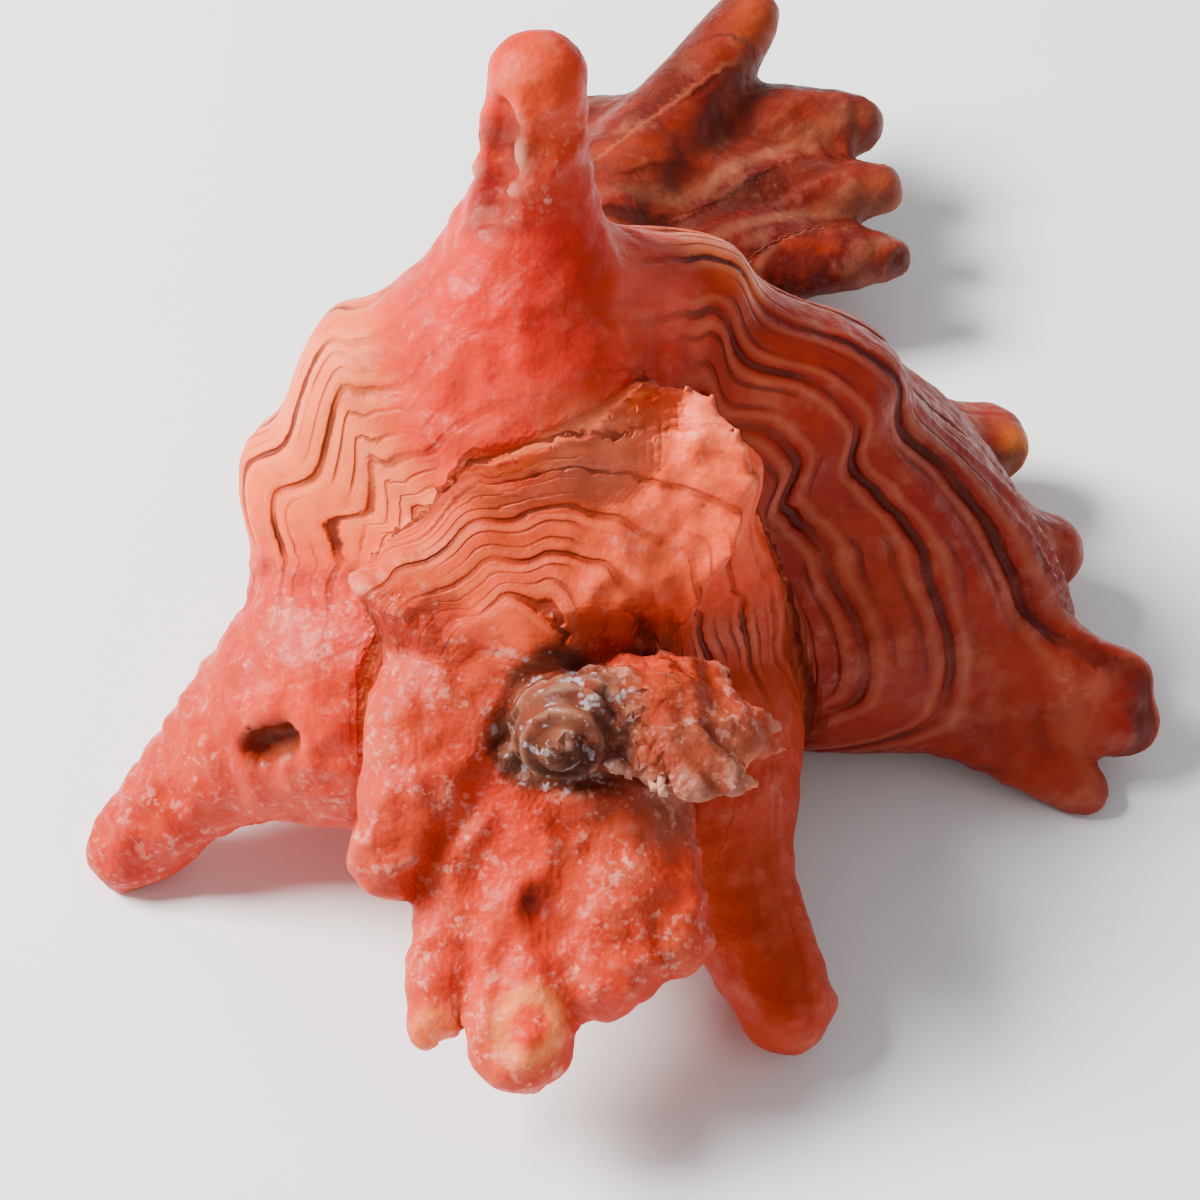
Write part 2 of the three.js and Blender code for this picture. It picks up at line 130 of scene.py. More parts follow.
class Section:
    """Signed distance from the whorl's half section, and the nearest place on it, as lookup tables."""

    STEP = 0.01
    LOW = (-0.3, -2.6)
    HIGH = (2.2, 1.4)

    def __init__(self):
        fine = catmull(WHORL_SECTION, np.linspace(0, 1, 160))
        xs = np.arange(self.LOW[0], self.HIGH[0], self.STEP)
        ys = np.arange(self.LOW[1], self.HIGH[1], self.STEP)
        p = np.stack(np.meshgrid(xs, ys, indexing="ij"), -1).reshape(-1, 2)
        a, b = fine[:-1], fine[1:]
        best = np.full(len(p), 1e9)
        where = np.zeros(len(p))
        for k in range(len(a)):
            e = b[k] - a[k]
            t = np.clip(((p - a[k]) @ e) / (e @ e), 0, 1)
            d = np.linalg.norm(p - a[k] - t[:, None] * e, axis=1)
            m = d < best
            best[m] = d[m]
            where[m] = (k + t[m]) / len(a)
        loop = np.concatenate([[(-1, fine[0, 1])], fine, [(-1, fine[-1, 1])]])
        inside = np.zeros(len(p), bool)
        for k in range(len(loop)):
            (x0, y0), (x1, y1) = loop[k - 1], loop[k]
            if y0 == y1:
                continue
            crosses = (p[:, 1] < y0) != (p[:, 1] < y1)
            inside ^= crosses & (p[:, 0] < (x1 - x0) * (p[:, 1] - y0) / (y1 - y0) + x0)
        self.distance = np.where(inside, -best, best).reshape(len(xs), len(ys))
        self.place = where.reshape(len(xs), len(ys))

    def beyond(self, out, up):
        """How far a point is outside the tables."""
        x = out - np.clip(out, self.LOW[0], self.HIGH[0])
        y = up - np.clip(up, self.LOW[1], self.HIGH[1])
        return np.hypot(x, y)

    def look(self, table, out, up):
        x = np.clip((out - self.LOW[0]) / self.STEP, 0, table.shape[0] - 1.001)
        y = np.clip((up - self.LOW[1]) / self.STEP, 0, table.shape[1] - 1.001)
        i, j = x.astype(int), y.astype(int)
        f, g = x - i, y - j
        return (table[i, j] * (1 - f) * (1 - g) + table[i + 1, j] * f * (1 - g)
                + table[i, j + 1] * (1 - f) * g + table[i + 1, j + 1] * f * g)


SECTION = Section()
GROWTH_AXIS = np.arange(-2500.0, 100.0, 1.0)


def bump_row(entries, behind, ahead):
    row = np.zeros_like(GROWTH_AXIS)
    for growth, swell in entries:
        d = GROWTH_AXIS - growth
        row += swell * np.exp(-((d / np.where(d < 0, behind, ahead)) ** 2))
    return row


RIB_ROW = bump_row(RIBS, RIB_BACK, RIB_FRONT)
SWELL_ROW = bump_row(VARICES, BACK_SPREAD, FRONT_SPREAD) + RIB_ROW


def swelling(growth, up):
    shoulder = np.exp(-(((up - SHOULDER_HEIGHT) / SHOULDER_SPREAD) ** 2))
    return 1 + np.interp(growth, GROWTH_AXIS, SWELL_ROW) * (0.35 + 0.65 * shoulder)


def surface_point(growth, place, raise_by=0.0):
    out, up = catmull(WHORL_SECTION, place)
    (xa, ya), (xb, yb) = catmull(WHORL_SECTION, place - 0.01), catmull(WHORL_SECTION, place + 0.01)
    normal = np.array([ya - yb, xb - xa])
    normal /= np.linalg.norm(normal)
    s = size_at(growth)
    rho = s * out * float(swelling(growth, up)) + raise_by * normal[0]
    turn = math.radians(LIP_AZIMUTH - growth)
    height = s * (up - SPIRE_DROP) + raise_by * normal[1]
    return np.array([rho * math.cos(turn), rho * math.sin(turn), height])


def waves(x, seed, octaves=3):
    """Smooth repeatable noise of one variable, about -1 to 1."""
    total, weight = 0.0, 0.0
    for k in range(octaves):
        w = 0.6**k
        total = total + w * np.sin(x * (1.9**k) * 2.1 + seed * 7.3 + k * 1.7) * np.cos(
            x * (1.7**k) * 1.27 + seed * 3.1 + k * 4.2)
        weight += w
    return total / weight * 1.6


def flange_raise(growth, place):
    """Height that the varix flanges add at a growth angle and a place on the section."""
    total = np.zeros(np.broadcast(growth, place).shape)
    for n, (at, sweep, back, front, crest) in enumerate(FLANGES):
        places, heights = zip(*crest)
        ragged = 1 + 0.16 * waves(place * 30, n) + 0.08 * waves(place * 75, n + 5)
        height = np.interp(place, places, heights, left=0, right=0) * ragged
        d = growth - (at + sweep * (0.38 - place) + 1.2 * waves(place * 22, n + 9))
        rise = np.where(d < 0, np.clip(1 + d / back, 0, 1) ** 1.2, np.clip(1 - d / (front * 0.55), 0, 1))
        total = np.maximum(total, height * rise)
    return total


def spine_shape(name):
    growth, place, sink, (reach, azimuth, height), bend, radii, wide = SPINES[name]
    turn = math.radians(azimuth)
    end = np.array([reach * math.cos(turn), reach * math.sin(turn), height])
    root = surface_point(growth, place)
    root = root + (np.array([0, 0, root[2]]) - root) * sink
    middle = (root + end) / 2 + np.array(bend)
    t = np.linspace(0, 1, 11)[:, None]
    path = (1 - t) ** 2 * root + 2 * t * (1 - t) * middle + t**2 * end
    t = t[:, 0]
    r_root, r_mid, r_tip = radii
    size = r_tip + (r_mid - r_tip) * (1 - t) + (r_root - r_mid) * np.exp(-((t / 0.35) ** 2))
    path[-1] = path[-1] - (end - path[-2]) / np.linalg.norm(end - path[-2]) * r_tip * 0.9
    return path, size, wide


def finger_shape(name):
    root, end, radii, wide = FINGERS[name]
    root, end = np.array(root, float), np.array(end, float)
    t = np.linspace(0, 1, 7)
    path = root + t[:, None] * (end - root)
    size = np.interp(t, [0, 0.6, 1], radii)
    path[-1] -= (end - root) / np.linalg.norm(end - root) * radii[2] * 0.9
    return path, size, wide


def canal_shape():
    t = np.linspace(0, 1, 12)
    return catmull(CANAL_PATH, t), catmull(CANAL_RADII, t)[:, 0], 1.0


def tube_distance(p, path, size, wide):
    """Distance from a bent, tapered tube, and how far along it the nearest point is."""
    tangent = path[-1] - path[0]
    along = np.array([0, 0, 1.0]) - tangent * tangent[2] / (tangent @ tangent)
    along /= np.linalg.norm(along)
    squeeze = 1 / wide - 1

    def narrow(q):
        return q + (q @ along)[..., None] * squeeze * along

    q, path = narrow(p), narrow(path)
    best = np.full(len(p), 1e9)
    where = np.zeros(len(p))
    for k in range(len(path) - 1):
        e = path[k + 1] - path[k]
        t = np.clip(((q - path[k]) @ e) / (e @ e), 0, 1)
        d = np.linalg.norm(q - path[k] - t[:, None] * e, axis=1) - (size[k] + t * (size[k + 1] - size[k]))
        m = d < best
        best[m] = d[m]
        where[m] = (k + t[m]) / (len(path) - 1)
    return best, where


TUBES = {name: spine_shape(name) for name in SPINES}
TUBES.update({name: finger_shape(name) for name in FINGERS})
TUBES["canal"] = canal_shape()


def on_spine(name, along, around=0.0, depth=1.0):
    """A point on a spine: share of its length, degrees round it from the apex side, share of its radius."""
    path, size, _ = TUBES[name]
    shares = np.linspace(0, 1, len(path))
    at = np.array([np.interp(along, shares, path[:, k]) for k in range(3)])
    ahead = (path[-1] - path[0]) / np.linalg.norm(path[-1] - path[0])
    top = np.array([0, 0, 1.0]) - ahead * ahead[2]
    top /= np.linalg.norm(top)
    turn = math.radians(around)
    outward = math.cos(turn) * top + math.sin(turn) * np.cross(ahead, top)
    return at + depth * np.interp(along, shares, size) * outward


# Broken pits: (centre, radius)
DORSAL_CRATER = on_spine("dorsal", 0.7, -50)
PITS = [
    (on_spine("dorsal", 0.8, -55), 2.2), (on_spine("dorsal", 0.7, -60), 2.6),
    (on_spine("dorsal", 0.6, -60), 2.5), (on_spine("left", 0.24, 22), 1.3),
    (on_spine("left", 0.29, 22), 1.6), (on_spine("left", 0.34, 22), 1.4),
    (on_spine("front", 0.5), 1.6),
]


def slit_distance(p):
    """Signed distance from the open slit under the siphonal canal."""
    path = catmull(CANAL_PATH, np.linspace(*SLIT_ENDS, 20))[::-1]
    at = np.stack([np.interp(p[:, 2], path[:, 2], path[:, k]) for k in (0, 1)], 1)
    turn = math.radians(LIP_AZIMUTH - 90)
    ahead = np.array([math.cos(turn), math.sin(turn)])
    out = (p[:, :2] - at) @ ahead
    side = (p[:, :2] - at) @ np.array([-ahead[1], ahead[0]])
    ends = np.maximum(path[0, 2] - p[:, 2], p[:, 2] - path[-1, 2])
    return np.maximum(np.maximum(np.abs(side) - SLIT_WIDTH / 2, -out), ends)


def smooth_min(a, b, k):
    h = np.clip(0.5 + 0.5 * (b - a) / k, 0, 1)
    return b * (1 - h) + a * h - k * h * (1 - h)


def shell_field(p, facts=False):
    """Signed distance in millimetres from the shell at points p in the shell frame."""
    rho = np.hypot(p[:, 0], p[:, 1])
    azimuth = np.degrees(np.arctan2(p[:, 1], p[:, 0]))
    first = (LIP_AZIMUTH - azimuth) % 360.0  # growth angle, from 0 to 360
    first = np.where(first > 60, first - 360, first)
    outer = inner = None
    best_growth = best_place = None
    for n in range(TURNS):
        s_max = size_at(60.0 - 360.0 * n)
        up_low, up_high = s_max * (-1.75 - SPIRE_DROP) - 4, 10.0
        take = (rho < 1.55 * s_max + 14) & (p[:, 2] > up_low) & (p[:, 2] < up_high + 4)
        d, growth, place = np.full(len(p), 1e3), np.zeros(len(p)), np.zeros(len(p))
        g = first[take] - 360.0 * n
        s = size_at(g)
        up = p[take, 2] / s + SPIRE_DROP
        out = rho[take] / s / swelling(g, up)
        at = SECTION.look(SECTION.place, out, up)
        away = SECTION.look(SECTION.distance, out, up) + SECTION.beyond(out, up)
        d[take] = s * away * 0.95 - flange_raise(g, at)
        growth[take], place[take] = g, at
        if n == 0:
            outer = d
            raw = np.full(len(p), 1e3)
            raw[take] = s * SECTION.look(SECTION.distance, rho[take] / s, up)
            best_growth, best_place = growth, place
        else:
            inner = d if inner is None else np.minimum(inner, d)
            closer = d < (outer if n == 1 else best_d)
            best_growth = np.where(closer, growth, best_growth)
            best_place = np.where(closer, place, best_place)
        best_d = np.minimum(outer, inner) if inner is not None else outer
    # The lip's plane ends the last whorl.
    past_lip = np.where(np.abs(first) < 60, rho * np.sin(np.radians(first)) - 1.0, -1e3)
    outer = np.maximum(outer, past_lip)
    tubes = np.full(len(p), 1e3)
    tube_where = np.zeros(len(p))
    tube_id = np.full(len(p), -1)
    for k, (path, size, wide) in enumerate(TUBES.values()):
        reach = size.max() * max(wide, 1) + 6
        near = np.all((p > path.min(0) - reach) & (p < path.max(0) + reach), axis=1)
        if not near.any():
            continue
        d, where = tube_distance(p[near], path, size, wide)
        idx = np.where(near)[0]
        m = d < tubes[idx]
        tube_where[idx[m]] = where[m]
        tube_id[idx[m]] = k
        tubes[idx] = smooth_min(tubes[idx], d, 2.0)
    body = smooth_min(outer, tubes, BLEND)
    # The cavity runs back from the lip inside the last whorl.
    deep = np.clip((-first - 100) / 65, 0, 1)
    cavity = raw + WALL + 14 * deep**2
    cavity = np.where((first > CAVITY_FROM - 20) & (first < CAVITY_TO), cavity, 5.0)
    body = np.maximum(body, -cavity)
    columella = rho - np.interp(p[:, 2], [-68, -2], [6.5, 1.2])
    columella = np.maximum(columella, np.abs(p[:, 2] + 37) - 31)
    dome = np.linalg.norm(p - np.array(PROTOCONCH[0]), axis=1) - PROTOCONCH[1]
    inner = smooth_min(inner, dome, 1.0)
    d = smooth_min(smooth_min(body, inner, 1.0), columella, 1.5)
    d = -smooth_min(-d, slit_distance(p), 0.4)
    for centre, radius in PITS:
        d = -smooth_min(-d, np.linalg.norm(p - np.array(centre), axis=1) - radius, 0.6)
    if not facts:
        return d
    return d, best_growth, best_place, tubes - np.minimum(outer, inner), tube_where, tube_id


def shell_to_world():
    turn = Matrix.Rotation(math.radians(PITCH), 3, "X") @ Matrix.Rotation(math.radians(YAW), 3, "Y")
    turn = turn @ Matrix.Rotation(math.radians(LEAN), 3, "X")
    return np.array(turn)


TURN = shell_to_world()
SHIFT = np.array([-FOOTPRINT_MIDDLE[0], -FOOTPRINT_MIDDLE[1], REST_LIFT])


def to_world(p):
    return (p - np.array([0, 0, AIM_HEIGHT])) @ TURN.T + SHIFT


def world_height(p):
    return to_world(p)[:, 2]


def field(p):
    """The shell cut flat where it stands."""
    return np.maximum(shell_field(p), -world_height(p))


def widened(mask):
    """The mask grown by one cell each way."""
    grown = mask.copy()
    for axis in range(3):
        a, b = [slice(None)] * 3, [slice(None)] * 3
        a[axis], b[axis] = slice(1, None), slice(0, -1)
        step = grown.copy()
        step[tuple(a)] |= grown[tuple(b)]
        step[tuple(b)] |= grown[tuple(a)]
        grown = step
    return grown


def doubled(block):
    for axis in range(3):
        block = np.repeat(block, 2, axis)
    return block


def mesh_field():
    """Surface nets over the field: (vertices, quads) in the shell frame."""
    low, high = np.array([-46.0, -36.0, -112.0]), np.array([58.0, 54.0, 20.0])
    shape = np.ceil((high - low) / (4 * VOXEL)).astype(int)
    active = np.ones(shape, bool)
    signs = np.ones(shape, bool)
    for step, band in ((4, 1.7), (2, 1.3), (1, None)):
        spacing = step * VOXEL
        where = np.argwhere(active)
        values = np.where(signs, 10.0, -10.0)
        for start in range(0, len(where), 300000):
            at = where[start : start + 300000]
            values[tuple(at.T)] = field(low + at * spacing)
        if band:
            active = doubled(widened(np.abs(values) < band * spacing))
            signs = doubled(values > 0)
    inside = values < 0
    count = np.zeros(tuple(n - 1 for n in inside.shape), np.int8)
    corners = [(i, j, k) for i in (0, 1) for j in (0, 1) for k in (0, 1)]
    sl = lambda c, a: slice(c, c + a)
    dims = count.shape
    for c in corners:
        count += inside[sl(c[0], dims[0]), sl(c[1], dims[1]), sl(c[2], dims[2])]
    cells = np.argwhere((count > 0) & (count < 8))
    index = np.full(dims, -1, np.int64)
    index[tuple(cells.T)] = np.arange(len(cells))
    corner_values = np.stack([values[tuple((cells + c).T)] for c in corners], 1)
    total = np.zeros((len(cells), 3))
    hits = np.zeros(len(cells))
    for a in range(8):
        for b in range(a + 1, 8):
            ca, cb = np.array(corners[a]), np.array(corners[b])
            if np.abs(ca - cb).sum() != 1:
                continue
            va, vb = corner_values[:, a], corner_values[:, b]
            cross = (va < 0) != (vb < 0)
            t = np.where(cross, va / np.where(cross, va - vb, 1), 0)
            total += np.where(cross[:, None], ca + t[:, None] * (cb - ca), 0)
            hits += cross
    vertices = low + (cells + total / hits[:, None]) * VOXEL
    quads = []
    for axis in range(3):
        u, v = (axis + 1) % 3, (axis + 2) % 3
        a = [slice(None)] * 3
        b = [slice(None)] * 3
        a[axis], b[axis] = slice(0, -1), slice(1, None)
        change = inside[tuple(a)] != inside[tuple(b)]
        edge = np.argwhere(change)
        ok = (edge[:, u] > 0) & (edge[:, v] > 0) & (edge[:, u] < dims[u]) & (edge[:, v] < dims[v])
        edge = edge[ok]
        starts_inside = inside[tuple(edge.T)]
        du, dv = np.eye(3, dtype=int)[u], np.eye(3, dtype=int)[v]
        ring = [index[tuple((edge - o).T)] for o in (du + dv, dv, 0 * du, du)]
        q = np.stack(ring, 1)
        q[~starts_inside] = q[~starts_inside][:, ::-1]
        quads.append(q)
    return vertices, np.concatenate(quads)


# ---- Surface: relief and facts for the material ----
LATTICE = np.random.default_rng(11).random((32, 32, 32))


def noise(p, size, seed=0):
    """Smooth repeatable noise in space, -1 to 1, with blobs of a size in millimetres."""
    q = p / size + seed * 7.7
    i = np.floor(q).astype(int)
    f = q - i
    f = f * f * (3 - 2 * f)
    total = 0.0
    for c in np.ndindex(2, 2, 2):
        w = np.prod(np.where(np.array(c), f, 1 - f), axis=1)
        j = (i + np.array(c)) % 32
        total = total + w * LATTICE[j[:, 0], j[:, 1], j[:, 2]]
    return total * 2 - 1


def smooth_step(low, high, x):
    t = np.clip((x - low) / (high - low), 0, 1)
    return t * t * (3 - 2 * t)


def normals_of(p, quads):
    a, b, c, d = (p[quads[:, k]] for k in range(4))
    face = np.cross(c - a, d - b)
    n = np.zeros_like(p)
    for k in range(4):
        for axis in range(3):
            n[:, axis] += np.bincount(quads[:, k], face[:, axis], len(p))
    return n / (np.linalg.norm(n, axis=1)[:, None] + 1e-12)


def spread(values, quads, times):
    """Values averaged over neighbouring vertices."""
    values = np.asarray(values, float)
    flat = values.reshape(len(values), -1)
    count = np.bincount(quads.ravel(), minlength=len(flat)) * 2.0
    for _ in range(times):
        total = np.zeros_like(flat)
        for k in range(4):
            for side in (1, 3):
                near = flat[quads[:, (k + side) % 4]]
                for axis in range(flat.shape[1]):
                    total[:, axis] += np.bincount(quads[:, k], near[:, axis], len(flat))
        flat = 0.5 * flat + 0.5 * total / count[:, None]
    return flat.reshape(values.shape)


# Ground colour by growth angle, as eight-bit screen colours; the right flank's rows (growth 40 to -80) are
# its own deeper brown-orange and are also darkened as painted shade
GROUND = [
    (40, (150, 62, 36)), (0, (158, 62, 34)), (-20, (156, 62, 26)), (-60, (166, 68, 26)),
    (-80, (176, 72, 34)), (-90, (176, 86, 84)), (-99, (188, 92, 88)), (-106, (205, 72, 44)),
    (-113, (214, 74, 40)),
    (-122, (226, 104, 62)), (-134, (242, 164, 136)), (-150, (250, 172, 148)), (-185, (244, 146, 100)),
    (-208, (236, 124, 84)), (-222, (226, 110, 108)), (-234, (204, 84, 66)), (-246, (222, 112, 70)),
    (-280, (232, 146, 88)), (-300, (205, 112, 60)), (-316, (192, 98, 56)), (-330, (180, 78, 48)),
    (-355, (196, 96, 62)), (-380, (232, 112, 84)), (-400, (248, 138, 114)), (-430, (247, 150, 128)),
    (-450, (226, 126, 100)), (-480, (204, 112, 80)), (-520, (218, 128, 100)), (-545, (212, 108, 92)),
    (-590, (202, 100, 86)), (-639, (214, 98, 80)), (-680, (192, 98, 84)), (-705, (172, 124, 116)),
    (-745, (168, 124, 118)), (-800, (146, 104, 96)),
]
# Growth angle: how rough and scaly, how strong the spiral grooves
ROUGH = [
    (40, 0.2), (0, 0.25), (-20, 0.15), (-80, 0.15), (-100, 0.5), (-118, 0.5), (-135, 0.15), (-200, 0.15),
    (-218, 0.8), (-245, 0.8), (-260, 0.4), (-340, 0.3), (-390, 0.5), (-440, 0.6), (-470, 0.2), (-510, 0.2),
    (-530, 0.8), (-700, 1.0), (-750, 0.8), (-770, 0.4),
]
GROOVED = [
    (40, 0.6), (0, 1), (-85, 1), (-97, 0.35), (-118, 0.25), (-135, 0.9), (-195, 1), (-215, 0.3),
    (-250, 0.5), (-290, 1), (-340, 1), (-380, 0.45), (-440, 0.4), (-465, 0.8), (-515, 0.8),
    (-535, 0.25), (-600, 0.1),
]
# Spiral lines: how many from suture to base, and by growth how far they step at a rib and drift
LINES = 11
RIB_STEPS = ([-420, -330, -250, -200, -100], [0.8, 0.8, 1.6, 2.2, 3.5])
DRIFT = ([-540, -420, -330, -250], [0, 2.2, 2.2, 0])
GROOVE_DEPTH = 0.42  # millimetres
SCALE_TURN = 7  # degrees of growth between the scaly rows of a rough front
DEEPEN, VIVID = 3.1, 1.04  # screen colour to a deeper linear one
CHANNELS = np.array([1.0, 0.52, 0.24])  # red, green and blue are scaled to a warmer skin
APEX_TINT, INNER_SKIN = (120, 98, 98), (236, 170, 140)
# Fan colours: a painted highlight on the crests of the webbed fingers, painted shade in their valleys
FAN_PAINTED_HIGHLIGHT, FAN_PAINTED_SHADE = (196, 110, 104), (104, 22, 10)
DOME = np.array(PROTOCONCH[0])
# Soft spots of colour: centre, radius, screen colour, strength
SPOTS = [
    # mauve band beside the dorsal spine
    (surface_point(-90, 0.3), 6, (224, 134, 152), 0.85),
    (surface_point(-85, 0.24), 5, (186, 84, 86), 0.6),
    (surface_point(-92, 0.4), 7, (216, 130, 146), 0.75),
    (on_spine("dorsal", 0.75, 80), 4, (206, 110, 96), 0.5),
    # the dorsal spine's red middle, orange end, and its crater pits darkened brown as painted shade
    (on_spine("dorsal", 0.5, 20), 6, (196, 58, 28), 0.9),
    (on_spine("dorsal", 0.35, 15), 6, (188, 64, 24), 0.9),
    (on_spine("dorsal", 0.92), 6, (226, 116, 84), 0.8),
    (on_spine("dorsal", 0.74, -50), 4, (128, 50, 24), 0.95),
    (on_spine("dorsal", 0.6, -55), 4, (140, 50, 26), 0.95),
    # pale suture, and cream cords on the right
    (surface_point(-455, 0.38), 6, (232, 160, 156), 0.9),
    (surface_point(-75, 0.45), 7, (236, 168, 136), 0.8),
    # the left spine's root, painted shade in the pits of its slit, and its hooked end
    (on_spine("left", 0.2, 30), 5, (236, 112, 104), 0.6),
    (on_spine("left", 0.26, 22), 2.2, (104, 66, 34), 1),
    (on_spine("left", 0.32, 22), 2.4, (96, 58, 30), 1),
    (on_spine("left", 0.88), 11, (194, 80, 42), 0.9),
    # the front spine's little crater, darkened as painted shade, and the cream ring round its orange end
    (on_spine("front", 0.5), 2.2, (120, 40, 24), 0.9),
    (on_spine("front", 0.95), 4.4, (252, 204, 170), 0.95),
    (on_spine("front", 0.95), 2.2, (232, 92, 44), 1),
    # pale tips
    (on_spine("front_left", 1), 2.6, (248, 190, 150), 0.7),
    (on_spine("lip_third", 0.95), 3.4, (238, 200, 150), 0.9),
    (on_spine("lip_last", 1), 7, (236, 150, 110), 0.8),
    # the worn lamella, paler at its edge; the worn dome
    (surface_point(-717, 0.3, 6.5), 8, (150, 112, 112), 0.85),
    (surface_point(-719, 0.35, 9.5), 3.6, (226, 176, 156), 0.8),
    (DOME + (4, -4, 4), 4.5, (104, 54, 46), 0.5),
    (DOME + (-1, 1, 3), 3.6, (118, 92, 88), 0.9),
]


def by_growth(table, growth):
    table = sorted(table)
    at = [row[0] for row in table]
    values = np.array([row[1] for row in table], float)
    if values.ndim == 1:
        return np.interp(growth, at, values)
    return np.stack([np.interp(growth, at, values[:, k]) for k in range(3)], 1)


def tube_growth():
    own = [SPINES[name][0] if name in SPINES else 0.0 for name in TUBES]
    return np.array(own + [0.0])


def dressed(vertices, quads):
    """Relief on the mesh, and the facts that its material reads."""
    p = spread(vertices, quads, 1)
    _, growth, place, stand, along, which = shell_field(p, facts=True)
    spine = smooth_step(2.0, -4.0, stand)
    spire = np.linalg.norm(p - np.array(PROTOCONCH[0]), axis=1) + noise(p, 3, 13)
    worn = smooth_step(6.4, 5.0, spire)
    growth = np.where(worn > 0, growth, np.maximum(growth, -690 + 3 * noise(p, 6, 12)))
    fringe = smooth_step(6.0, -1.0, stand)
    own_growth = spread(tube_growth()[which], quads, 8)
    age = growth * (1 - fringe) + own_growth * fringe
    rough = by_growth(ROUGH, age) * (1 - 0.5 * worn)
    rough = np.clip(rough + 0.25 * noise(p, 7, 1), 0, 1)
    crater = smooth_step(6.5, 4.0, np.linalg.norm(p - DORSAL_CRATER, axis=1))
    rough = np.maximum(rough, crater)
    pit = np.max([smooth_step(2.4, 0.4, np.linalg.norm(p - np.array(c), axis=1) - r) for c, r in PITS], 0)
    grooved = by_growth(GROOVED, age) * (1 - spine * np.where(age > -40, 0.2, 0.85)) * (1 - worn)
    step = np.interp(growth, *RIB_STEPS) * np.interp(age, GROWTH_AXIS, RIB_ROW)
    line = place * LINES + np.interp(growth, *DRIFT) - step
    line = line + 0.12 * waves(age / 24, 3) + 0.1 * noise(p, 9, 2)
    depth = np.abs(line - np.round(line))
    groove = smooth_step(0.14, 0.0, depth) * grooved * (0.55 + 0.45 * np.clip(noise(p, 9, 3) + 0.4, 0, 1))
    outward = np.hypot(p[:, 0], p[:, 1]) / 4
    scale = (age / SCALE_TURN * (1 - fringe) + outward * fringe + 1.6 * noise(p, 5, 4)) % 1.0
    ridged = 1 - 2 * np.abs(noise(p, 2.6, 5))
    relief = (-GROOVE_DEPTH * groove * np.clip((growth + 900) / 300, 0, 1)
              + rough * (0.42 * ridged + 0.3 * noise(p, 1.4, 6))
              + rough * 0.12 * np.sin(np.pi * scale) + 0.25 * noise(p, 6, 7)
              + worn * 0.34 * np.sin(4.2 * p[:, 2] + 1.2 * noise(p, 3, 14)))
    cavity = inside_lip(p)
    relief *= 1 - cavity
    normal = normals_of(spread(p, quads, 3), quads)
    p = p + normal * relief[:, None]
    above = world_height(p)
    p = p + np.where(above < 0, -above, 0)[:, None] * TURN[2]
    normal = normals_of(p, quads)
    # How hollow the surface is, close by and broadly: masks for painted shade in hollows and painted
    # highlight on edges
    hollow = spread(np.einsum("ij,ij->i", spread(p, quads, 4) - p, normal), quads, 1)
    wide_hollow = np.einsum("ij,ij->i", spread(p, quads, 24) - p, normal)
    colour = by_growth(GROUND, age + 3 * noise(p, 8, 8))
    colour = colour * (1 - worn[:, None]) + np.array(APEX_TINT) * worn[:, None]
    for centre, radius, tint, strength in SPOTS:
        away = np.linalg.norm(p - np.array(centre), axis=1) + 0.12 * radius * noise(p, 3, 9)
        w = strength * smooth_step(1.0, 0.45, away / radius)[:, None]
        colour = colour * (1 - w) + np.array(tint) * w
    colour = colour * (1 - cavity[:, None]) + np.array(INNER_SKIN) * cavity[:, None]
    tubes = list(TUBES)
    # The fan: darkened overall as painted shade, lighter crests as painted highlight, dark valleys as
    # painted shade
    fan = np.isin(which, [tubes.index(name) for name in list(FINGERS) + ["lip_last"]]) * spine
    painted_valley_shade = (fan * smooth_step(-0.35, 0.4, wide_hollow))[:, None]
    painted_crest_highlight = (fan * smooth_step(-0.5, -1.2, wide_hollow))[:, None] * 0.5
    colour = colour * (1 - 0.24 * fan[:, None])
    colour = colour * (1 - painted_crest_highlight) + np.array(FAN_PAINTED_HIGHLIGHT) * painted_crest_highlight
    colour = colour * (1 - painted_valley_shade) + np.array(FAN_PAINTED_SHADE) * painted_valley_shade
    colour = (colour / 255) ** DEEPEN
    middle = colour.mean(1)[:, None]
    colour = np.clip(middle + (colour - middle) * VIVID, 0.004, 0.95) * CHANNELS
    facts = {"line": line, "grooved": grooved * (1 - cavity), "rough": rough * (1 - cavity),
             "hollow": hollow, "wide_hollow": wide_hollow, "growth": age / 10, "worn": worn, "pit": pit}
    return p, colour, facts


def inside_lip(p):
    """1 inside the opening of the last whorl, 0 outside."""
    first = (LIP_AZIMUTH - np.degrees(np.arctan2(p[:, 1], p[:, 0]))) % 360.0
    first = np.where(first > 60, first - 360, first)
    s = size_at(first)
    up = p[:, 2] / s + SPIRE_DROP
    raw = s * SECTION.look(SECTION.distance, np.hypot(p[:, 0], p[:, 1]) / s, up)
    return smooth_step(-1.2, -2.0, raw) * (first > CAVITY_FROM - 20) * (first < CAVITY_TO) * (up < -0.1)


def make_shell():
    vertices, quads = mesh_field()
    points, colour, facts = dressed(vertices, quads)
    mesh = bpy.data.meshes.new("murex")
    mesh.from_pydata((to_world(points) * MM).tolist(), [], quads.tolist())
    mesh.polygons.foreach_set("use_smooth", [True] * len(mesh.polygons))
    paint = mesh.attributes.new("ground", "FLOAT_COLOR", "POINT")
    paint.data.foreach_set("color", np.concatenate([colour, np.ones((len(colour), 1))], 1).ravel())
    for name, values in facts.items():
        layer = mesh.attributes.new(name, "FLOAT", "POINT")
        layer.data.foreach_set("value", values)
    piece = bpy.data.objects.new("murex", mesh)
    bpy.context.scene.collection.objects.link(piece)
    return piece


